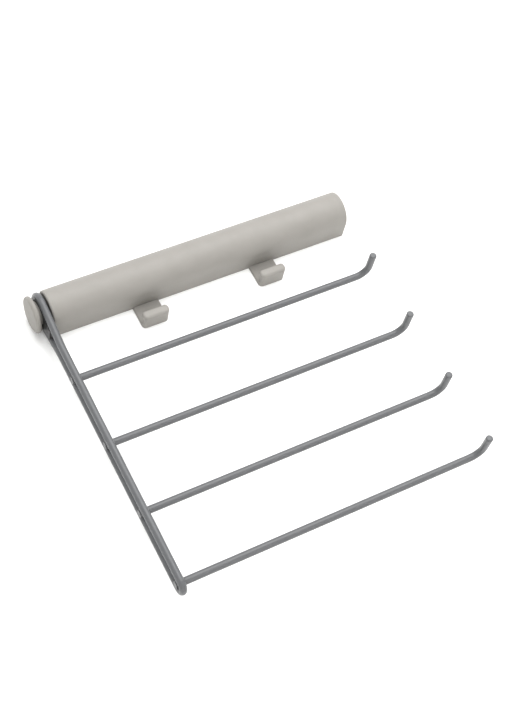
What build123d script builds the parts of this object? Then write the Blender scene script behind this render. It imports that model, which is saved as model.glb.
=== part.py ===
from build123d import *
import math
import os

# Wall mounted drying rack whose comb of rungs folds down flat against the wall and lifts to horizontal.
# Frame: origin on the wall face of the back plate, level with the pivot axis and half way along the
# barrel. +X runs along the barrel away from the arm, -Y faces the room, +Z is up. Millimetres.
# The solids are in the folded-down position.

# ---- driving dimensions ----
BARREL_LENGTH = 352.0
BARREL_RADIUS = 21.0
AXIS_STANDOFF = 21.5          # pivot axis to the wall
SHELL = 2.5                   # moulded wall thickness
PLATE_THICKNESS = 2.5

WIRE_DIAMETER = 8.0
RUNG_COUNT = 4
RUNG_PITCH = 80.0
FIRST_RUNG_DROP = 87.0        # pivot axis to the first rung
RUNG_STRAIGHT_END = 150.5     # x where the upturned tip starts to bend
TIP_BEND_RADIUS = 14.0        # on the wire's centreline
TIP_HEIGHT = 35.0             # rung centreline to the end of the tip
TIP_SOFTNESS = 1.8            # rounding of the tip's end

SHAFT_DIAMETER = 12.0
RUNNING_CLEARANCE = 0.05      # radial, shaft in bearing

HOOK_SPACING = 140.8
HOOK_WIDTH = 30.5
HOOK_DROP = 48.2              # pivot axis to the underside of a hook
HOOK_REACH = 19.8             # how far a hook stands off the wall

SCREW_SPACING_X = 240.0
SCREW_SPACING_Z = 22.0
WALL_SCREW_RADIUS = 2.25

# ---- places worked out from them ----
FIT_GAP = 0.2                                    # all round a piece that sits in a moulded pocket
WIRE_RADIUS = WIRE_DIAMETER / 2
LEFT_END = -BARREL_LENGTH / 2
RIGHT_END = BARREL_LENGTH / 2
ARM_GAP = 1.5                                    # barrel end to the arm
ARM_X = LEFT_END - ARM_GAP - WIRE_RADIUS
ARM_OUTER_X = ARM_X - WIRE_RADIUS
ARM_INNER_X = ARM_X + WIRE_RADIUS
WELD_GAP = 0.05                                  # between touching wires, filled by weld
LEG_OFFSET = WIRE_DIAMETER + WELD_GAP            # arm leg to the rung plane: the rungs fit between
RUNG_PROUD = 0.5                                 # rung end beyond the arm's outer side
LOOP_RADIUS = 17.1                               # arm loop round the hub, on the wire's centreline
LEGS_PARALLEL_DROP = 50.0                        # below here the two legs of the arm are parallel
LAST_RUNG_DROP = FIRST_RUNG_DROP + (RUNG_COUNT - 1) * RUNG_PITCH
HUB_CORE_RADIUS = LOOP_RADIUS - WIRE_RADIUS - WELD_GAP
CAP_RADIUS = 20.2
CAP_THICKNESS = 6.5
CAP_SOFTNESS = 2.9
CAP_GAP = 3.0                                    # arm to the end cap
END_WALL = 3.0
COLLAR_GAP = 0.7                                 # hub collar to the barrel's end
BEARING_LENGTH = 12.0
OUTER_BEARING_X = LEFT_END + END_WALL + FIT_GAP
INNER_BEARING_X = -70.0
FLATS_SHARE = 0.86                               # width over the shaft's flats, as a share of its diameter
STOP_PIN_DIAMETER = 4.0
STOP_PIN_REACH = 12.0                            # pivot axis to the tip of the stop pin
STOP_POCKET_DEPTH = 5.2
HEX_ACROSS_FLATS = 9.0
PACK_RADIUS = 13.0                               # friction ring and pressure plate
PACK_BORE_RADIUS = SHAFT_DIAMETER / 2 + 0.3
FRICTION_RING_THICKNESS = 2.0
PRESSURE_PLATE_THICKNESS = 3.0
DISC_SPRING_COUNT = 4
DISC_SPRING_THICKNESS = 1.2
DISC_SPRING_CONE = 0.9
NUT_THICKNESS = 6.0
NUT_ACROSS_FLATS = 19.0
NUT_CLEARANCE = 0.1
HUB_SCREW_RADIUS = 2.5
HUB_SCREW_LENGTH = 16.0
HUB_SCREW_HEAD_RADIUS = 4.5
HUB_SCREW_HEAD = 3.0
HUB_SCREW_SOCKET = 4.0                           # hexagon key, across flats
HUB_WASHER_RADIUS = 9.5
HUB_WASHER = 1.2
COVER_SCREW_X = 100.0
COVER_SCREW_RADIUS = 1.45
COVER_SCREW_HEAD_RADIUS = 3.0
COVER_SCREW_HEAD = 1.3
COVER_SCREW_LENGTH = 10.0
LUG_WIDTH = 14.0
LUG_DEPTH = 12.0                                 # back plate lug that a cover screw bites into
LUG_HEIGHT = 8.0


def along_x(profile, x_start, x_end):
    """Extrude a sketch drawn in (Y, Z) from one X to another."""
    return extrude(Plane.YZ.offset(x_start) * profile, amount=x_end - x_start)


def on_axis(profile):
    """Move a sketch drawn about the pivot axis to where that axis crosses the YZ plane."""
    return Pos(-AXIS_STANDOFF, 0) * profile


def cylinder_x(radius, x_start, x_end):
    """Cylinder on the pivot axis."""
    return along_x(on_axis(Circle(radius)), x_start, x_end)


def hexagon(across_flats):
    """Regular hexagon by its width across flats."""
    return RegularPolygon(across_flats / math.sqrt(3), 6)


def barrel_profile(inset, back):
    """Barrel section in (Y, Z): half round towards the room, flat sides back to Y = back."""
    half = BARREL_RADIUS - inset
    depth = AXIS_STANDOFF + back
    front = Circle(half) & Pos(-half / 2, 0) * Rectangle(half, 2 * half)
    sides = Pos(back - depth / 2, 0) * Rectangle(depth, 2 * half)
    return on_axis(front) + sides


def hook_places():
    """X of the middle of each hook."""
    return (-HOOK_SPACING / 2, HOOK_SPACING / 2)


def cover_screw_places():
    """X of each screw that holds the barrel cover to the back plate."""
    return (-COVER_SCREW_X, COVER_SCREW_X)


def boundary_edges(faces):
    """Edges that only one of these faces has."""
    edges = [edge for face in faces for edge in face.edges()]
    return [e for e in edges if sum(e.is_same(other) for other in edges) == 1]


def make_hook(x_middle):
    """J shaped hook: a strip down the wall, a floor and an upturned lip, soft at every free edge."""
    floor_thickness = 4.8
    lip_thickness = 5.6
    lip_height = 10.2
    inner_radius = 1.2
    lip_corner = 4.0
    floor_corner = 4.6
    front_softness = 3.2
    inner_softness = 2.0
    bottom = -HOOK_DROP
    root = -BARREL_RADIUS + SHELL + FIT_GAP
    lip_back = -HOOK_REACH + lip_thickness
    outline = Polyline(
        (0, root),
        (-PLATE_THICKNESS, root),
        (-PLATE_THICKNESS, bottom + floor_thickness),
        (lip_back, bottom + floor_thickness),
        (lip_back, bottom + lip_height),
        (-HOOK_REACH, bottom + lip_height),
        (-HOOK_REACH, bottom),
        (0, bottom),
        close=True,
    )
    hook = along_x(make_face(outline), -HOOK_WIDTH / 2, HOOK_WIDTH / 2)
    across = hook.edges().filter_by(Axis.X)
    hook = fillet([e for e in across if abs(e.center().Z - bottom - floor_thickness) < 1e-3], inner_radius)
    front_edges = hook.faces().sort_by(Axis.Y)[0].edges().filter_by(Axis.Z)
    deep = hook.edges().filter_by(Axis.Y)
    hook = fillet([e for e in deep if abs(e.center().Z - bottom - lip_height) < 1e-3], lip_corner)
    deep = hook.edges().filter_by(Axis.Y)
    hook = fillet([e for e in deep if abs(e.center().Z - bottom) < 1e-3], floor_corner)
    hook = fillet(hook.faces().sort_by(Axis.Y)[0].edges(), front_softness)
    inner = [
        f for f in hook.faces()
        if lip_back - 1e-3 < f.center().Y < -PLATE_THICKNESS + 1e-3
        and f.center().Z > bottom + floor_thickness / 2 and abs(f.center().X) < 1e-3
    ]
    rim = [e for e in boundary_edges(inner) if e.center().Z < root - 1e-3]
    return Pos(x_middle, 0, 0) * fillet(rim, inner_softness)


def make_back_plate():
    """Plate that is screwed to the wall, with the two hooks and the lugs for the cover screws."""
    half_height = BARREL_RADIUS - SHELL - FIT_GAP
    length = BARREL_LENGTH - 2 * END_WALL - 2 * FIT_GAP
    plate = Pos(0, -PLATE_THICKNESS / 2, 0) * Box(length, PLATE_THICKNESS, 2 * half_height)
    for x_middle in hook_places():
        plate += make_hook(x_middle)
    for x_lug in cover_screw_places():
        y_lug = -PLATE_THICKNESS - LUG_DEPTH / 2
        lug = Pos(x_lug, y_lug, half_height - LUG_HEIGHT / 2) * Box(LUG_WIDTH, LUG_DEPTH, LUG_HEIGHT)
        plate += lug
    for x_lug in cover_screw_places():
        hole = Cylinder(COVER_SCREW_RADIUS, 2 * LUG_HEIGHT + 2)
        plate -= Pos(x_lug, -PLATE_THICKNESS - LUG_DEPTH / 2, half_height) * hole
    for x_side in (-1, 1):
        for z_side in (-1, 1):
            spot = Pos(x_side * SCREW_SPACING_X / 2, -PLATE_THICKNESS / 2, z_side * SCREW_SPACING_Z / 2)
            plate -= spot * Rot(90, 0, 0) * Cylinder(WALL_SCREW_RADIUS, 2 * PLATE_THICKNESS)
    return plate


def make_housing():
    """Barrel cover, open to the wall, closed at both ends, with notches for the hooks."""
    left_radius = 2.0
    right_radius = 0.7
    body = along_x(barrel_profile(0, 0), LEFT_END, RIGHT_END)
    for x_end, radius in ((LEFT_END, left_radius), (RIGHT_END, right_radius)):
        rim = [
            e for e in body.edges()
            if abs(e.center().X - x_end) < 1e-3 and e.center().Y < -1e-3
        ]
        body = fillet(rim, radius)
    body -= along_x(barrel_profile(SHELL, 0), LEFT_END + END_WALL, RIGHT_END - END_WALL)
    notch_width = HOOK_WIDTH + 2 * FIT_GAP
    notch_depth = PLATE_THICKNESS + FIT_GAP
    for x_middle in hook_places():
        notch = Box(notch_width, 2 * notch_depth, 2 * SHELL)
        body -= Pos(x_middle, 0, -BARREL_RADIUS + SHELL / 2) * notch
    body -= cylinder_x(SHAFT_DIAMETER / 2 + 1.0, LEFT_END - 1, LEFT_END + END_WALL + 1)
    for x_screw in cover_screw_places():
        y_screw = -PLATE_THICKNESS - LUG_DEPTH / 2
        shank = Cylinder(COVER_SCREW_RADIUS + FIT_GAP, 3 * SHELL)
        seat = Cylinder(COVER_SCREW_HEAD_RADIUS + FIT_GAP, 2 * COVER_SCREW_HEAD)
        body -= Pos(x_screw, y_screw, BARREL_RADIUS) * (shank + seat)
    return body


def make_cover_screws():
    """Two flush pan head screws through the top of the barrel cover."""
    socket_width = 2.0
    downwards = (Align.CENTER, Align.CENTER, Align.MAX)
    screws = []
    for x_screw in cover_screw_places():
        y_screw = -PLATE_THICKNESS - LUG_DEPTH / 2
        head = Cylinder(COVER_SCREW_HEAD_RADIUS, COVER_SCREW_HEAD, align=downwards)
        shank = Cylinder(COVER_SCREW_RADIUS, COVER_SCREW_LENGTH, align=downwards)
        socket = extrude(hexagon(socket_width), amount=-COVER_SCREW_HEAD * 0.7)
        screws.append(Pos(x_screw, y_screw, BARREL_RADIUS) * (head + shank - socket))
    return Compound(children=screws)


def make_bearing(x_start):
    """Moulded block that fills the barrel's section and carries the shaft."""
    profile = barrel_profile(SHELL + FIT_GAP, -PLATE_THICKNESS - FIT_GAP)
    profile -= on_axis(Circle(SHAFT_DIAMETER / 2 + RUNNING_CLEARANCE))
    return along_x(profile, x_start, x_start + BEARING_LENGTH)


def make_outer_bearing():
    """Bearing at the arm end, with the quarter turn pocket that the stop pin swings in."""
    block = make_bearing(OUTER_BEARING_X)
    reach = STOP_PIN_REACH + 0.6
    half_width = STOP_PIN_DIAMETER / 2 + FIT_GAP
    quarter = Circle(reach) & Pos(-reach / 2, -reach / 2) * Rectangle(reach, reach)
    hanging = Pos(0, -reach / 2) * Rectangle(2 * half_width, reach)
    raised = Pos(-reach / 2, 0) * Rectangle(reach, 2 * half_width)
    pocket = quarter + (hanging + raised & Circle(reach))
    x_face = OUTER_BEARING_X + BEARING_LENGTH
    return block - along_x(on_axis(pocket), x_face - STOP_POCKET_DEPTH, x_face + 1)


def make_inner_bearing():
    """Bearing half way along the shaft."""
    return make_bearing(INNER_BEARING_X)


def pack_positions():
    """X where the friction ring, pressure plate, disc springs, nut and shaft end start."""
    ring = INNER_BEARING_X + BEARING_LENGTH
    plate = ring + FRICTION_RING_THICKNESS + RUNNING_CLEARANCE
    springs = plate + PRESSURE_PLATE_THICKNESS
    nut = springs + DISC_SPRING_COUNT * (DISC_SPRING_THICKNESS + DISC_SPRING_CONE)
    shaft_end = nut + NUT_THICKNESS + 1.5
    return ring, plate, springs, nut, shaft_end


def make_friction_ring():
    """Ring fixed to the inner bearing, which the pressure plate rubs on."""
    x_ring = pack_positions()[0]
    ring = cylinder_x(PACK_RADIUS, x_ring, x_ring + FRICTION_RING_THICKNESS)
    return ring - cylinder_x(PACK_BORE_RADIUS, x_ring - 1, x_ring + FRICTION_RING_THICKNESS + 1)


def flatted_shaft_profile(radius):
    """Shaft section with two flats, so that a plate on it turns with it."""
    return Circle(radius) & Rectangle(2 * radius * FLATS_SHARE, 2 * radius)


def make_pressure_plate():
    """Steel plate keyed to the shaft by two flats."""
    x_plate = pack_positions()[1]
    profile = Circle(PACK_RADIUS) - flatted_shaft_profile(SHAFT_DIAMETER / 2 + RUNNING_CLEARANCE)
    return along_x(on_axis(profile), x_plate, x_plate + PRESSURE_PLATE_THICKNESS)


def make_disc_springs():
    """Stack of conical spring washers, turned alternately."""
    inner = PACK_BORE_RADIUS
    outer = PACK_RADIUS - 1
    x_first = pack_positions()[2]
    step = DISC_SPRING_THICKNESS + DISC_SPRING_CONE
    washers = []
    for index in range(DISC_SPRING_COUNT):
        x_start = x_first + index * step
        lift_inner = DISC_SPRING_CONE if index % 2 else 0.0
        lift_outer = DISC_SPRING_CONE - lift_inner
        section = Polygon(
            (x_start + lift_inner, inner),
            (x_start + lift_outer, outer),
            (x_start + lift_outer + DISC_SPRING_THICKNESS, outer),
            (x_start + lift_inner + DISC_SPRING_THICKNESS, inner),
            align=None,
        )
        washers.append(Pos(0, -AXIS_STANDOFF, 0) * revolve(section, Axis.X))
    return Compound(children=washers)


def make_lock_nut():
    """Hexagon nut that sets the friction."""
    x_nut = pack_positions()[3]
    profile = hexagon(NUT_ACROSS_FLATS) - Circle(SHAFT_DIAMETER / 2 + NUT_CLEARANCE)
    return along_x(on_axis(profile), x_nut, x_nut + NUT_THICKNESS)


def make_pivot_shaft():
    """Steel shaft: a hexagon under the hub, round in the bearings, flatted under the pressure plate."""
    x_plate, x_springs = pack_positions()[1:3]
    shaft_end = pack_positions()[4]
    shoulder = LEFT_END - COLLAR_GAP
    shaft = along_x(on_axis(hexagon(HEX_ACROSS_FLATS)), ARM_OUTER_X, shoulder)
    shaft += cylinder_x(SHAFT_DIAMETER / 2, shoulder, x_plate)
    shaft += along_x(on_axis(flatted_shaft_profile(SHAFT_DIAMETER / 2)), x_plate, x_springs)
    shaft += cylinder_x(SHAFT_DIAMETER / 2, x_springs, shaft_end)
    tapped_radius = HUB_SCREW_RADIUS + RUNNING_CLEARANCE
    shaft -= cylinder_x(tapped_radius, ARM_OUTER_X - 1, ARM_OUTER_X + HUB_SCREW_LENGTH)
    x_pin = stop_pin_x()
    pin_bore = Cylinder(STOP_PIN_DIAMETER / 2 + RUNNING_CLEARANCE, SHAFT_DIAMETER)
    return shaft - Pos(x_pin, -AXIS_STANDOFF, -SHAFT_DIAMETER / 2) * pin_bore


def stop_pin_x():
    """X of the stop pin, in the middle of its pocket."""
    return OUTER_BEARING_X + BEARING_LENGTH - STOP_POCKET_DEPTH / 2


def make_stop_pin():
    """Pin that points down from the shaft and meets the ends of the pocket."""
    align = (Align.CENTER, Align.CENTER, Align.MAX)
    return Pos(stop_pin_x(), -AXIS_STANDOFF, 0) * Cylinder(STOP_PIN_DIAMETER / 2, STOP_PIN_REACH, align=align)


def leg_slope():
    """Angle, in radians, at which an arm leg leaves the loop towards the parallel part."""
    reach = math.hypot(LEGS_PARALLEL_DROP, LEG_OFFSET)
    return math.asin(LOOP_RADIUS / reach) - math.atan2(LEG_OFFSET, LEGS_PARALLEL_DROP)


def make_arm_hub():
    """Moulded core inside the arm's loop: round, with a nose between the legs so that it can't slip."""
    slope = leg_slope()
    core = Circle(HUB_CORE_RADIUS)
    edge_y = HUB_CORE_RADIUS * math.cos(slope)
    edge_z = -HUB_CORE_RADIUS * math.sin(slope)
    nose_drop = 30.0
    nose_half = edge_y - (nose_drop + edge_z) * math.tan(slope)
    nose = Polygon(
        (-edge_y, edge_z), (-nose_half, -nose_drop), (nose_half, -nose_drop), (edge_y, edge_z), align=None
    )
    collar_radius = 10.5
    hub = along_x(on_axis(core + nose), ARM_OUTER_X, ARM_INNER_X)
    hub += cylinder_x(collar_radius, ARM_INNER_X, LEFT_END - COLLAR_GAP)
    return hub - along_x(on_axis(hexagon(HEX_ACROSS_FLATS)), ARM_OUTER_X - 1, LEFT_END)


def make_hub_washer():
    """Washer between the hub and its screw."""
    washer = cylinder_x(HUB_WASHER_RADIUS, ARM_OUTER_X - HUB_WASHER, ARM_OUTER_X)
    return washer - cylinder_x(HUB_SCREW_RADIUS + FIT_GAP, ARM_OUTER_X - HUB_WASHER - 1, ARM_OUTER_X + 1)


def make_hub_screw():
    """Screw along the shaft that clamps the hub, under the end cap."""
    x_seat = ARM_OUTER_X - HUB_WASHER
    screw = cylinder_x(HUB_SCREW_HEAD_RADIUS, x_seat - HUB_SCREW_HEAD, x_seat)
    screw += cylinder_x(HUB_SCREW_RADIUS, x_seat, x_seat + HUB_SCREW_LENGTH)
    socket = along_x(on_axis(hexagon(HUB_SCREW_SOCKET)), x_seat - HUB_SCREW_HEAD, x_seat - 1)
    return screw - socket


def make_end_cap():
    """Pillow edged disc that covers the hub, with a spigot that presses on the hub's face."""
    x_back = ARM_OUTER_X - CAP_GAP
    x_front = x_back - CAP_THICKNESS
    spigot_radius = HUB_CORE_RADIUS - 0.4
    disc = cylinder_x(CAP_RADIUS, x_front, x_back)
    disc = fillet(disc.edges().filter_by(GeomType.CIRCLE), CAP_SOFTNESS)
    disc += cylinder_x(spigot_radius, x_back - 1, ARM_OUTER_X)
    pocket_radius = HUB_WASHER_RADIUS + 0.5
    return disc - cylinder_x(pocket_radius, ARM_OUTER_X - HUB_WASHER - HUB_SCREW_HEAD - 0.3, ARM_OUTER_X + 1)


def make_arm():
    """Closed loop of wire: round the hub, down both sides of the rungs and round below the last one."""
    slope = leg_slope()
    bend_radius = 60.0
    tangent_y = LOOP_RADIUS * math.cos(slope)
    tangent_z = -LOOP_RADIUS * math.sin(slope)
    room_leg = FilletPolyline(
        (-tangent_y, tangent_z),
        (-LEG_OFFSET, -LEGS_PARALLEL_DROP),
        (-LEG_OFFSET, -LAST_RUNG_DROP),
        radius=bend_radius,
    )
    wall_leg = mirror(room_leg, Plane.YZ)
    end_bend = ThreePointArc(
        (-LEG_OFFSET, -LAST_RUNG_DROP), (0, -LAST_RUNG_DROP - LEG_OFFSET), (LEG_OFFSET, -LAST_RUNG_DROP)
    )
    over_hub = ThreePointArc((-tangent_y, tangent_z), (0, LOOP_RADIUS), (tangent_y, tangent_z))
    path = Wire(over_hub.edges() + room_leg.edges() + end_bend.edges() + wall_leg.edges())
    path = Plane.YZ.offset(ARM_X) * (Pos(-AXIS_STANDOFF, 0) * path)
    start = Plane(origin=path @ 0, z_dir=path % 0)
    return sweep(start * Circle(WIRE_RADIUS), path=path)


def make_rung(drop):
    """One rung: straight from the arm, then bent a quarter turn to an upturned tip."""
    path = FilletPolyline(
        (ARM_OUTER_X - RUNG_PROUD, -AXIS_STANDOFF, -drop),
        (RUNG_STRAIGHT_END + TIP_BEND_RADIUS, -AXIS_STANDOFF, -drop),
        (RUNG_STRAIGHT_END + TIP_BEND_RADIUS, -AXIS_STANDOFF - TIP_HEIGHT, -drop),
        radius=TIP_BEND_RADIUS,
    )
    rung = sweep(Plane(origin=path @ 0, z_dir=path % 0) * Circle(WIRE_RADIUS), path=path)
    tip_edge = rung.edges().group_by(Axis.Y)[0]
    return fillet(tip_edge, TIP_SOFTNESS)


def main():
    """Write one STEP file for each node."""
    makers = {
        "back_plate": make_back_plate,
        "housing": make_housing,
        "cover_screws": make_cover_screws,
        "outer_bearing": make_outer_bearing,
        "inner_bearing": make_inner_bearing,
        "friction_ring": make_friction_ring,
        "pivot_shaft": make_pivot_shaft,
        "stop_pin": make_stop_pin,
        "pressure_plate": make_pressure_plate,
        "disc_springs": make_disc_springs,
        "lock_nut": make_lock_nut,
        "arm_hub": make_arm_hub,
        "hub_washer": make_hub_washer,
        "hub_screw": make_hub_screw,
        "end_cap": make_end_cap,
        "arm": make_arm,
    }
    os.makedirs("parts", exist_ok=True)
    for name, maker in makers.items():
        export_step(maker(), f"parts/{name}.step")
    for index in range(RUNG_COUNT):
        rung = make_rung(FIRST_RUNG_DROP + index * RUNG_PITCH)
        export_step(rung, f"parts/rung_{index + 1}.step")


main()
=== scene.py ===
"""Looks, light and camera for a wall mounted fold down drying rack.

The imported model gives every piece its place: metres, +X along the barrel away from the arm, -Y out of the
wall into the room, +Z up, the origin on the wall behind the middle of the barrel.
"""

import logging
import math
from collections.abc import Callable, Iterable
from dataclasses import dataclass, field
from enum import Enum

import bmesh
import bpy
from mathutils import Matrix, Vector


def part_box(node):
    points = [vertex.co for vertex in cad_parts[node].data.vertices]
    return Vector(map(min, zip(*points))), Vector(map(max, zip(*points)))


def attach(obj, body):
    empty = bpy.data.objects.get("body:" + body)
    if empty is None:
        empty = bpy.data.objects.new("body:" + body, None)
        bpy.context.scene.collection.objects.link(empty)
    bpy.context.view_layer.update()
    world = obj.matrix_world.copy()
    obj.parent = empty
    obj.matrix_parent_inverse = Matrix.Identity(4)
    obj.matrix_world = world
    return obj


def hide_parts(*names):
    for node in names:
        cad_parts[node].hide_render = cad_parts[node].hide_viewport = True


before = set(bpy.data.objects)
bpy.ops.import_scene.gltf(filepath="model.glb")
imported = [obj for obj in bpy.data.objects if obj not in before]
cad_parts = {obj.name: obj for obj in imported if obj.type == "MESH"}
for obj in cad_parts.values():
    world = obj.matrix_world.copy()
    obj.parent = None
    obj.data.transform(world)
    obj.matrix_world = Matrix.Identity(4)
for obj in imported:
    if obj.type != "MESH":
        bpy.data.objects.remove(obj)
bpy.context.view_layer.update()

LOG = logging.getLogger("drying_rack")
MM = 0.001


# ---------------------------------------------------------------------------------------------------------
# Colour and nodes
# ---------------------------------------------------------------------------------------------------------


def linear(hex_colour: str) -> tuple[float, float, float, float]:
    """Turn an sRGB hex colour into the linear values that a shader takes.

    Args:
        hex_colour: Six hex digits, such as "8a8b8d".

    Returns:
        Linear red, green and blue, with an alpha of 1.
    """
    channels = [int(hex_colour[i : i + 2], 16) / 255 for i in (0, 2, 4)]
    bent = [c / 12.92 if c <= 0.04045 else ((c + 0.055) / 1.055) ** 2.4 for c in channels]
    return (bent[0], bent[1], bent[2], 1.0)


def per_metre(size_mm: float) -> float:
    """Texture scale that makes one feature of a pattern this many millimetres across."""
    return 1.0 / (size_mm * MM)


def add_node(
    tree: bpy.types.NodeTree,
    kind: str,
    settings: dict[str, object] | None = None,
    values: dict[str | int, object] | None = None,
    links: dict[str | int, bpy.types.NodeSocket] | None = None,
) -> bpy.types.Node:
    """Add a node with its settings and links.

    Args:
        tree: The node tree that takes the node.
        kind: Blender's name for the kind of node.
        settings: Properties of the node itself.
        values: Fixed values, by input socket.
        links: Sockets of other nodes, by the input socket that each one feeds.

    Returns:
        The new node.
    """
    node = tree.nodes.new(kind)
    for name, value in (settings or {}).items():
        setattr(node, name, value)
    for socket, value in (values or {}).items():
        node.inputs[socket].default_value = value
    for socket, source in (links or {}).items():
        tree.links.new(source, node.inputs[socket])
    return node


def blank_material(name: str) -> tuple[bpy.types.Material, bpy.types.NodeTree]:
    """Make an empty node material.

    Args:
        name: The material's name.

    Returns:
        The material and its node tree, with nothing in it.
    """
    material = bpy.data.materials.new(name)
    material.use_nodes = True
    material.node_tree.nodes.clear()
    return material, material.node_tree


def noise(
    tree: bpy.types.NodeTree, place: bpy.types.NodeSocket, size_mm: float, detail: float = 3.0
) -> bpy.types.NodeSocket:
    """Add a noise pattern whose features have a real size.

    Args:
        tree: The node tree.
        place: Object coordinates.
        size_mm: How far apart the pattern's features are.
        detail: How many finer layers the pattern has.

    Returns:
        The pattern's grey value.
    """
    node = add_node(
        tree,
        "ShaderNodeTexNoise",
        values={"Scale": per_metre(size_mm), "Detail": detail, "Roughness": 0.55},
        links={"Vector": place},
    )
    return node.outputs["Fac"]


def remap(
    tree: bpy.types.NodeTree,
    source: bpy.types.NodeSocket,
    span_in: tuple[float, float],
    span_out: tuple[float, float],
) -> bpy.types.NodeSocket:
    """Carry one range of values to another, without going past its ends.

    Args:
        tree: The node tree.
        source: The value to carry over.
        span_in: The range it comes in.
        span_out: The range it leaves in.

    Returns:
        The new value.
    """
    node = add_node(
        tree,
        "ShaderNodeMapRange",
        values={1: span_in[0], 2: span_in[1], 3: span_out[0], 4: span_out[1]},
        links={0: source},
    )
    return node.outputs[0]


def two_tone(
    tree: bpy.types.NodeTree, amount: bpy.types.NodeSocket, low_hex: str, high_hex: str
) -> bpy.types.NodeSocket:
    """Mix two colours by a pattern.

    Args:
        tree: The node tree.
        amount: 0 for the first colour, 1 for the second.
        low_hex: The first colour.
        high_hex: The second colour.

    Returns:
        The mixed colour.
    """
    node = add_node(
        tree,
        "ShaderNodeMix",
        settings={"data_type": "RGBA"},
        values={6: linear(low_hex), 7: linear(high_hex)},
        links={0: amount},
    )
    return node.outputs[2]


def bump(
    tree: bpy.types.NodeTree,
    height: bpy.types.NodeSocket,
    depth_mm: float,
    below: bpy.types.NodeSocket | None = None,
) -> bpy.types.NodeSocket:
    """Turn a pattern into relief.

    Args:
        tree: The node tree.
        height: The pattern.
        depth_mm: Height difference between its darkest and lightest parts.
        below: A coarser relief that this one lies on.

    Returns:
        The bent normal.
    """
    links = {"Height": height}
    if below is not None:
        links["Normal"] = below
    node = add_node(
        tree, "ShaderNodeBump", values={"Strength": 1.0, "Distance": depth_mm * MM}, links=links
    )
    return node.outputs["Normal"]


# ---------------------------------------------------------------------------------------------------------
# Finishes
# ---------------------------------------------------------------------------------------------------------


class Slot(Enum):
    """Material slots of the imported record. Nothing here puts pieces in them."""

    BARREL = "barrel_plastic"
    RACK = "rack_paint"


@dataclass(frozen=True)
class MouldedAbs:
    """Injection moulded ABS from a spark eroded tool.

    The tool leaves a fine even grain that spreads highlights into a satin band. The pigment flows a little
    unevenly, and handling polishes some patches.
    """

    name: str
    shade_low: str
    shade_high: str
    roughness: tuple[float, float] = (0.56, 0.64)
    grain_mm: float = 0.35           # the real grain is 0.05 mm: too fine to show, so drawn coarser
    grain_depth_mm: float = 0.006
    sink_mm: float = 45.0            # slow waviness where thick walls shrank
    sink_depth_mm: float = 0.05
    flow_mm: float = 22.0
    handling_mm: float = 14.0

    def build(self) -> bpy.types.Material:
        """Make the material."""
        material, tree = blank_material(self.name)
        place = add_node(tree, "ShaderNodeTexCoord").outputs["Object"]
        flow = remap(tree, noise(tree, place, self.flow_mm), (0.3, 0.7), (0.0, 1.0))
        colour = two_tone(tree, flow, self.shade_low, self.shade_high)
        handled = noise(tree, place, self.handling_mm)
        gloss = remap(tree, handled, (0.3, 0.7), self.roughness)
        sink = bump(tree, noise(tree, place, self.sink_mm, 1.0), self.sink_depth_mm)
        grain = bump(tree, noise(tree, place, self.grain_mm, 2.0), self.grain_depth_mm, sink)
        shader = add_node(
            tree,
            "ShaderNodeBsdfPrincipled",
            values={"IOR": 1.53, "Metallic": 0.0},
            links={"Base Color": colour, "Roughness": gloss, "Normal": grain},
        )
        add_node(tree, "ShaderNodeOutputMaterial", links={"Surface": shader.outputs[0]})
        return material


@dataclass(frozen=True)
class PowderCoat:
    """Polyester powder coat baked on steel wire.

    It melts into a tough skin with a faint orange peel, fine pigment specks and a soft sheen, and it is a
    little duller where laundry has rubbed it.
    """

    name: str
    shade_low: str
    shade_high: str
    roughness: tuple[float, float] = (0.3, 0.42)
    peel_mm: float = 1.6
    peel_depth_mm: float = 0.018
    speck_mm: float = 0.3
    speck_depth_mm: float = 0.003
    rub_mm: float = 30.0

    def build(self) -> bpy.types.Material:
        """Make the material."""
        material, tree = blank_material(self.name)
        place = add_node(tree, "ShaderNodeTexCoord").outputs["Object"]
        specks = noise(tree, place, self.speck_mm, 2.0)
        speckle = remap(tree, specks, (0.35, 0.65), (0.0, 1.0))
        colour = two_tone(tree, speckle, self.shade_low, self.shade_high)
        gloss = remap(tree, noise(tree, place, self.rub_mm), (0.3, 0.7), self.roughness)
        cells = add_node(
            tree,
            "ShaderNodeTexVoronoi",
            settings={"feature": "SMOOTH_F1"},
            values={"Scale": per_metre(self.peel_mm), "Smoothness": 1.0},
            links={"Vector": place},
        )
        peel = bump(tree, cells.outputs["Distance"], self.peel_depth_mm)
        fine = bump(tree, specks, self.speck_depth_mm, peel)
        shader = add_node(
            tree,
            "ShaderNodeBsdfPrincipled",
            values={"IOR": 1.5, "Metallic": 0.0},
            links={"Base Color": colour, "Roughness": gloss, "Normal": fine},
        )
        add_node(tree, "ShaderNodeOutputMaterial", links={"Surface": shader.outputs[0]})
        return material


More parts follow.
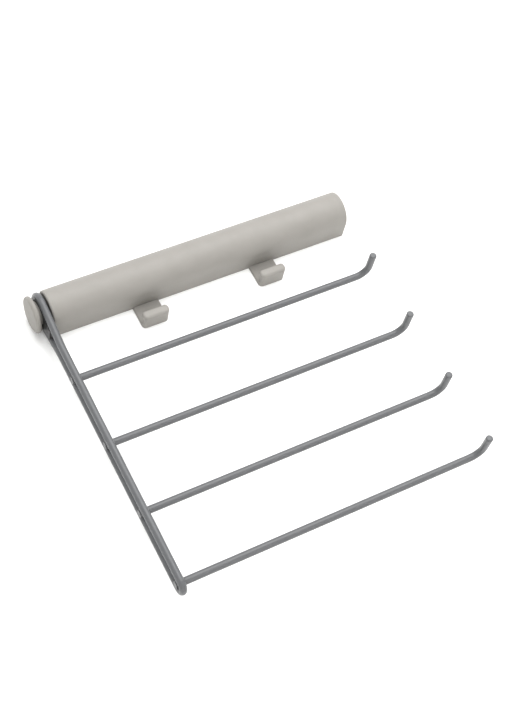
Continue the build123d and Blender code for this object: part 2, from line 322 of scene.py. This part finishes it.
@dataclass(frozen=True)
class MouldedAcetal:
    """Natural acetal, moulded.

    Waxy, low friction and slightly cloudy: a bearing plastic with a matt skin.
    """

    name: str
    shade_low: str
    shade_high: str
    roughness: tuple[float, float] = (0.42, 0.58)
    cloud_mm: float = 6.0
    grain_mm: float = 0.4
    grain_depth_mm: float = 0.008

    def build(self) -> bpy.types.Material:
        """Make the material."""
        material, tree = blank_material(self.name)
        place = add_node(tree, "ShaderNodeTexCoord").outputs["Object"]
        cloud = noise(tree, place, self.cloud_mm)
        colour = two_tone(tree, cloud, self.shade_low, self.shade_high)
        gloss = remap(tree, cloud, (0.3, 0.7), self.roughness)
        grain = bump(tree, noise(tree, place, self.grain_mm, 2.0), self.grain_depth_mm)
        shader = add_node(
            tree,
            "ShaderNodeBsdfPrincipled",
            values={"IOR": 1.48, "Metallic": 0.0, "Subsurface Weight": 0.1, "Subsurface Scale": 0.001},
            links={"Base Color": colour, "Roughness": gloss, "Normal": grain},
        )
        add_node(tree, "ShaderNodeOutputMaterial", links={"Surface": shader.outputs[0]})
        return material


@dataclass(frozen=True)
class ZincPlatedSteel:
    """Turned steel with bright zinc plating.

    The plating follows the fine turning marks and stains slightly in patches.
    """

    name: str
    shade_low: str
    shade_high: str
    roughness: tuple[float, float] = (0.24, 0.42)
    stain_mm: float = 5.0
    turning_mm: float = 0.5          # feed of the lathe
    turning_depth_mm: float = 0.004

    def build(self) -> bpy.types.Material:
        """Make the material."""
        material, tree = blank_material(self.name)
        place = add_node(tree, "ShaderNodeTexCoord").outputs["Object"]
        stain = noise(tree, place, self.stain_mm)
        colour = two_tone(tree, stain, self.shade_low, self.shade_high)
        gloss = remap(tree, stain, (0.3, 0.7), self.roughness)
        marks = add_node(
            tree,
            "ShaderNodeTexWave",
            settings={"bands_direction": "X"},
            values={"Scale": per_metre(self.turning_mm) / 20, "Distortion": 1.5},
            links={"Vector": place},
        )
        relief = bump(tree, marks.outputs["Fac"], self.turning_depth_mm)
        shader = add_node(
            tree,
            "ShaderNodeBsdfPrincipled",
            values={"Metallic": 1.0},
            links={"Base Color": colour, "Roughness": gloss, "Normal": relief},
        )
        add_node(tree, "ShaderNodeOutputMaterial", links={"Surface": shader.outputs[0]})
        return material


@dataclass(frozen=True)
class FrictionComposite:
    """Pressed friction composite: dark resin with short pale fibres and a dry, open surface."""

    name: str
    shade_low: str
    shade_high: str
    fibre_mm: float = 1.1
    fibre_depth_mm: float = 0.03

    def build(self) -> bpy.types.Material:
        """Make the material."""
        material, tree = blank_material(self.name)
        place = add_node(tree, "ShaderNodeTexCoord").outputs["Object"]
        fibres = noise(tree, place, self.fibre_mm, 5.0)
        colour = two_tone(tree, remap(tree, fibres, (0.5, 0.68), (0.0, 1.0)), self.shade_low, self.shade_high)
        relief = bump(tree, fibres, self.fibre_depth_mm)
        shader = add_node(
            tree,
            "ShaderNodeBsdfPrincipled",
            values={"IOR": 1.5, "Roughness": 0.85},
            links={"Base Color": colour, "Normal": relief},
        )
        add_node(tree, "ShaderNodeOutputMaterial", links={"Surface": shader.outputs[0]})
        return material


@dataclass(frozen=True)
class PaleCard:
    """Matt pale card for the wall and floor.

    It can be seen through from behind, so that it hides no back view, and it lets light on to whatever lies
    right against it.
    """

    name: str
    shade_low: str
    shade_high: str
    mottle_mm: float = 60.0
    against_mm: float = 1.0          # what is nearer than this lies against the card

    def build(self) -> bpy.types.Material:
        """Make the material."""
        material, tree = blank_material(self.name)
        place = add_node(tree, "ShaderNodeTexCoord").outputs["Object"]
        colour = two_tone(tree, noise(tree, place, self.mottle_mm), self.shade_low, self.shade_high)
        card = add_node(tree, "ShaderNodeBsdfDiffuse", links={"Color": colour})
        clear = add_node(tree, "ShaderNodeBsdfTransparent")
        behind = add_node(tree, "ShaderNodeNewGeometry").outputs["Backfacing"]
        travelled = add_node(tree, "ShaderNodeLightPath").outputs["Ray Length"]
        against = add_node(
            tree,
            "ShaderNodeMath",
            settings={"operation": "LESS_THAN"},
            values={1: self.against_mm * MM},
            links={0: travelled},
        )
        open_side = add_node(
            tree,
            "ShaderNodeMath",
            settings={"operation": "MAXIMUM"},
            links={0: behind, 1: against.outputs[0]},
        )
        mixed = add_node(
            tree,
            "ShaderNodeMixShader",
            links={0: open_side.outputs[0], 1: card.outputs[0], 2: clear.outputs[0]},
        )
        add_node(tree, "ShaderNodeOutputMaterial", links={"Surface": mixed.outputs[0]})
        return material


# ---------------------------------------------------------------------------------------------------------
# Bench: shared ways of shaping a mesh
# ---------------------------------------------------------------------------------------------------------


class Part(Enum):
    """What a selection in edit mode takes."""

    FACES = "FACE"
    EDGES = "EDGE"


def fresh(add: Callable[..., object], name: str, **sizes: object) -> bpy.types.Object:
    """Add a primitive with nothing else selected, its place in its mesh.

    Args:
        add: The operator that adds it.
        name: The object's name.
        **sizes: What the operator takes.

    Returns:
        The new object, at the origin and unturned.
    """
    bpy.ops.object.select_all(action="DESELECT")
    add(**sizes)
    made = bpy.context.object
    made.name = name
    made.data.name = name
    bpy.ops.object.transform_apply(location=True, rotation=True, scale=True)
    return made


def pick(piece: bpy.types.Object, part: Part, wanted: Callable[[Vector, Vector], bool]) -> None:
    """Select faces or edges of the piece in edit mode by their place.

    Args:
        piece: The object being edited.
        part: Faces or edges.
        wanted: Says yes or no from a face's middle and normal, or from an edge's two ends.
    """
    bpy.ops.mesh.select_mode(type=part.value)
    bpy.ops.mesh.select_all(action="DESELECT")
    mesh = bmesh.from_edit_mesh(piece.data)
    if part is Part.FACES:
        for face in mesh.faces:
            face.select_set(wanted(face.calc_center_median(), face.normal))
    else:
        for edge in mesh.edges:
            edge.select_set(wanted(edge.verts[0].co, edge.verts[1].co))
    bmesh.update_edit_mesh(piece.data)


def push(move: Vector) -> None:
    """Extrude the selected faces by a move."""
    bpy.ops.mesh.extrude_region_move(TRANSFORM_OT_translate={"value": tuple(move)})


def smooth(piece: bpy.types.Object, degrees: float = 35.0) -> None:
    """Shade a piece smooth, apart from its sharp edges.

    Args:
        piece: The object to shade.
        degrees: Edges sharper than this stay sharp.
    """
    bpy.ops.object.select_all(action="DESELECT")
    piece.select_set(True)
    bpy.context.view_layer.objects.active = piece
    bpy.ops.object.shade_smooth_by_angle(angle=math.radians(degrees))


def dress(pieces: Iterable[bpy.types.Object], material: bpy.types.Material) -> None:
    """Give pieces one material.

    Args:
        pieces: The objects.
        material: Their material.
    """
    for piece in pieces:
        piece.data.materials.clear()
        piece.data.materials.append(material)
        LOG.info("dressed %s in %s", piece.name, material.name)


def node(name: str) -> bpy.types.Object:
    """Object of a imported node."""
    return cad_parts[name]


# ---------------------------------------------------------------------------------------------------------
# Sub-assemblies
# ---------------------------------------------------------------------------------------------------------


@dataclass
class Barrel:
    """Cover, back plate with its hooks, and the two screws that join them."""

    skin: MouldedAbs = MouldedAbs("moulded_abs_greige", "807d78", "84817c")
    plating: ZincPlatedSteel = ZincPlatedSteel("zinc_plated_screw", "a9abaf", "c4c6c9")

    def build(self) -> None:
        """Dress the barrel's nodes."""
        dress([node("housing"), node("back_plate")], self.skin.build())
        dress([node("cover_screws")], self.plating.build())


@dataclass
class HingePack:
    """Bearings, shaft, stop pin and friction stack inside the barrel."""

    bearing: MouldedAcetal = MouldedAcetal("moulded_acetal_natural", "dcdad2", "e8e6df")
    pad: FrictionComposite = FrictionComposite("pressed_friction_composite", "26241f", "6d675b")
    plating: ZincPlatedSteel = ZincPlatedSteel("zinc_plated_turned_steel", "9fa2a6", "bfc1c4")

    def build(self) -> None:
        """Dress the hinge's nodes."""
        dress([node("outer_bearing"), node("inner_bearing")], self.bearing.build())
        dress([node("friction_ring")], self.pad.build())
        steel = ["pivot_shaft", "stop_pin", "pressure_plate", "disc_springs", "lock_nut"]
        dress([node(name) for name in steel + ["hub_washer", "hub_screw"]], self.plating.build())


@dataclass
class EndCap:
    """Crowned disc that closes the hub, with a soft rolled edge and a spigot behind."""

    body: str = "rack"
    name: str = "crowned_end_cap"
    gap: float = 3.0 * MM            # between the arm and the cap's back
    crown: float = 0.45 * MM
    crown_rings: int = 5
    ring_width: float = 2.9 * MM
    edge_radius: float = 2.9 * MM
    edge_segments: int = 9
    spigot_radius: float = 12.65 * MM
    spigot_wall: float = 1.5 * MM
    screw_room: float = 4.4 * MM     # how deep the spigot is hollowed
    sides: int = 128
    skin: MouldedAbs = MouldedAbs("moulded_abs_cap", "7b7873", "7f7c77", roughness=(0.54, 0.62))

    def build(self) -> bpy.types.Object:
        """Model the cap in place of the plain node.

        Returns:
            The finished cap.
        """
        low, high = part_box("end_cap")
        hub_low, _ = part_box("arm_hub")
        wire_low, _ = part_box("arm")
        radius = (high.z - low.z) / 2
        axis = Vector((0.0, (low.y + high.y) / 2, 0.0))
        back = wire_low.x - self.gap
        front = low.x + self.crown
        cap = fresh(
            bpy.ops.mesh.primitive_cylinder_add,
            self.name,
            vertices=self.sides,
            radius=radius,
            depth=back - front,
            location=((front + back) / 2, axis.y, 0.0),
            rotation=(0.0, math.pi / 2, 0.0),
        )
        bpy.ops.object.mode_set(mode="EDIT")
        self._roll_edges(cap, front, back)
        self._raise_crown(cap, front)
        self._sink_spigot(cap, back, hub_low.x, radius)
        bpy.ops.object.mode_set(mode="OBJECT")
        smooth(cap)
        dress([cap], self.skin.build())
        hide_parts("end_cap")
        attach(cap, self.body)
        LOG.info("modelled %s", cap.name)
        return cap

    def _roll_edges(self, cap: bpy.types.Object, front: float, back: float) -> None:
        """Round both rims.

        Args:
            cap: The cap in edit mode.
            front: X of its front face.
            back: X of its back face.
        """
        for x_rim in (front, back):
            pick(cap, Part.EDGES, lambda a, b, x=x_rim: abs(a.x - x) < 1e-6 and abs(b.x - x) < 1e-6)
            bpy.ops.mesh.bevel(
                offset=self.edge_radius, segments=self.edge_segments, profile=0.5, affect="EDGES"
            )

    def _raise_crown(self, cap: bpy.types.Object, front: float) -> None:
        """Dome the front face in rings.

        Args:
            cap: The cap in edit mode.
            front: X of its front face.
        """
        pick(cap, Part.FACES, lambda middle, normal: normal.x < -0.99 and middle.x < front + 1e-6)
        for ring in range(self.crown_rings):
            share = 1 - ring / self.crown_rings
            bpy.ops.mesh.inset(thickness=self.ring_width)
            bpy.ops.transform.translate(value=(-self.crown * share / 3, 0.0, 0.0))

    def _sink_spigot(self, cap: bpy.types.Object, back: float, seat: float, radius: float) -> None:
        """Raise the spigot that rests on the hub and hollow it over the screw.

        Args:
            cap: The cap in edit mode.
            back: X of its back face.
            seat: X of the hub's face.
            radius: The cap's radius.
        """
        pick(cap, Part.FACES, lambda middle, normal: normal.x > 0.99 and abs(middle.x - back) < 1e-6)
        bpy.ops.mesh.inset(thickness=radius - self.edge_radius - self.spigot_radius)
        push(Vector((seat - back, 0.0, 0.0)))
        bpy.ops.mesh.inset(thickness=self.spigot_wall)
        push(Vector((-self.screw_room, 0.0, 0.0)))


@dataclass
class WeldBead:
    """Short rippled run of weld in the valley between a rung's end and an arm leg."""

    body: str = "rack"
    half_length: float = 4.6 * MM
    thickness: float = 1.35 * MM
    flatness: float = 0.8            # depth as a share of the width
    ripple: float = 0.09 * MM
    bands: int = 25
    plain_bands: int = 3             # without ripples, at each end
    band_reach: float = 0.1 * MM

    def pattern(self, name: str) -> bpy.types.Object:
        """Model one bead about the origin, lying along Z.

        Args:
            name: The bead's name.

        Returns:
            The bead, not yet in its place.
        """
        bead = fresh(
            bpy.ops.mesh.primitive_uv_sphere_add,
            name,
            segments=20,
            ring_count=self.bands,
            radius=self.thickness,
        )
        bpy.ops.object.mode_set(mode="EDIT")
        bpy.ops.mesh.select_all(action="SELECT")
        bpy.ops.transform.resize(value=(1.0, self.flatness, self.half_length / self.thickness))
        for band in range(self.plain_bands, self.bands - self.plain_bands, 2):
            angle = math.pi * (band + 0.5) / self.bands
            height = self.half_length * math.cos(angle)
            pick(bead, Part.FACES, lambda middle, _, z=height: abs(middle.z - z) < self.band_reach)
            bpy.ops.transform.shrink_fatten(value=self.ripple)
        bpy.ops.object.mode_set(mode="OBJECT")
        smooth(bead, 60.0)
        return bead


@dataclass
class Rack:
    """Arm, rungs and hub that swing together."""

    body: str = "rack"
    rungs: tuple[str, ...] = ("rung_1", "rung_2", "rung_3", "rung_4")
    coat: PowderCoat = PowderCoat("powder_coated_wire", "4b4c4e", "555658")
    hub: MouldedAbs = MouldedAbs("moulded_nylon_hub", "2c2c2c", "323231", roughness=(0.4, 0.52))
    weld_place: float = 0.42         # in from the arm's outer side, as a share of the wire's radius
    cap: EndCap = field(default_factory=EndCap)
    bead: WeldBead = field(default_factory=WeldBead)

    def build(self) -> None:
        """Dress the rack's nodes and model its welds and cap."""
        paint = self.coat.build()
        dress([node("arm"), *(node(name) for name in self.rungs)], paint)
        dress([node("arm_hub")], self.hub.build())
        self.cap.build()
        self.weld(paint)

    def weld(self, paint: bpy.types.Material) -> None:
        """Lay two beads at each rung's end, one to each leg of the arm.

        Args:
            paint: The coat that covers the welds.
        """
        wire_low, wire_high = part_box("arm")
        wire = (wire_high.x - wire_low.x) / 2
        pattern = self.bead.pattern("weld_bead_pattern")
        for number, name in enumerate(self.rungs, start=1):
            low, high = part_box(name)
            for side, away in (("room", -1.0), ("wall", 1.0)):
                bead = pattern.copy()
                bead.data = pattern.data.copy()
                bead.name = f"weld_bead_{number}_{side}"
                bead.data.name = bead.name
                bpy.context.scene.collection.objects.link(bead)
                valley = wire_low.x + self.weld_place * wire
                middle = Vector((valley, high.y - wire + away * wire, (low.z + high.z) / 2))
                bead.data.transform(Matrix.Translation(middle))
                dress([bead], paint)
                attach(bead, self.body)
                LOG.info("welded %s", bead.name)
        leftover = pattern.data
        bpy.data.objects.remove(pattern)
        bpy.data.meshes.remove(leftover)


@dataclass
class Studio:
    """Pale wall and floor, soft light and the camera."""

    wall_gap: float = 0.3 * MM
    floor_drop: float = 1.3
    reach: float = 6.0
    camera_place: tuple[float, float, float] = (-0.5119, -1.2749, -0.7140)
    camera_right: tuple[float, float, float] = (0.8764, -0.1489, -0.4581)
    camera_up: tuple[float, float, float] = (0.3312, -0.5042, 0.7975)
    lens_mm: float = 71.19
    world_strength: float = 1.18
    key_watts: float = 42.0
    key_size: float = 1.9
    key_place: tuple[float, float, float] = (0.42, -1.7, 0.5)
    key_aim: tuple[float, float, float] = (0.0, 0.0, -0.15)
    card: PaleCard = PaleCard("matt_pale_card", "f4f4f3", "f6f6f5")

    def build(self) -> None:
        """Set up the stage, the lights and the camera."""
        card = self.card.build()
        wall = self.sheet("wall_card", (0.0, self.wall_gap, 0.0), (math.pi / 2, 0.0, 0.0))
        floor = self.sheet("floor_card", (0.0, 0.0, -self.floor_drop), (0.0, 0.0, 0.0))
        dress([wall, floor], card)
        self.light_world()
        self.hang_key()
        self.place_camera()
        bpy.context.scene.view_settings.view_transform = "Standard"

    def sheet(
        self, name: str, place: tuple[float, float, float], turn: tuple[float, float, float]
    ) -> bpy.types.Object:
        """Add a flat card.

        Args:
            name: Its name.
            place: Its middle.
            turn: Its rotation from lying face up.

        Returns:
            The card.
        """
        return fresh(
            bpy.ops.mesh.primitive_plane_add, name, size=self.reach, location=place, rotation=turn
        )

    def light_world(self) -> None:
        """Fill the room with even white light."""
        world = bpy.data.worlds.new("white_room")
        bpy.context.scene.world = world
        world.use_nodes = True
        world.node_tree.nodes.clear()
        glow = add_node(
            world.node_tree,
            "ShaderNodeBackground",
            values={"Color": linear("ffffff"), "Strength": self.world_strength},
        )
        add_node(world.node_tree, "ShaderNodeOutputWorld", links={"Surface": glow.outputs[0]})

    def hang_key(self) -> None:
        """Hang one large soft light in front of the wall."""
        lamp = bpy.data.lights.new("soft_key", "AREA")
        lamp.shape = "SQUARE"
        lamp.size = self.key_size
        lamp.energy = self.key_watts
        holder = bpy.data.objects.new("soft_key", lamp)
        holder.location = self.key_place
        aim = Vector(self.key_aim) - holder.location
        holder.rotation_euler = aim.to_track_quat("-Z", "Y").to_euler()
        bpy.context.scene.collection.objects.link(holder)

    def place_camera(self) -> None:
        """Put the camera below and in front of the rack, rolled as it looks up at it."""
        lens = bpy.data.cameras.new("camera")
        lens.lens = self.lens_mm
        lens.sensor_width = 36.0
        camera = bpy.data.objects.new("camera", lens)
        right = Vector(self.camera_right).normalized()
        up = Vector(self.camera_up).normalized()
        back = right.cross(up)
        turn = Matrix((right, up, back)).transposed().to_4x4()
        camera.matrix_world = Matrix.Translation(Vector(self.camera_place)) @ turn
        bpy.context.scene.collection.objects.link(camera)
        bpy.context.scene.camera = camera


def main() -> None:
    """Build each sub-assembly in order and report the pieces."""
    logging.basicConfig(level=logging.INFO, format="%(name)s: %(message)s")
    for assembly in (Barrel(), HingePack(), Rack(), Studio()):
        LOG.info("building %s", type(assembly).__name__)
        assembly.build()


if __name__ == "__main__":
    main()
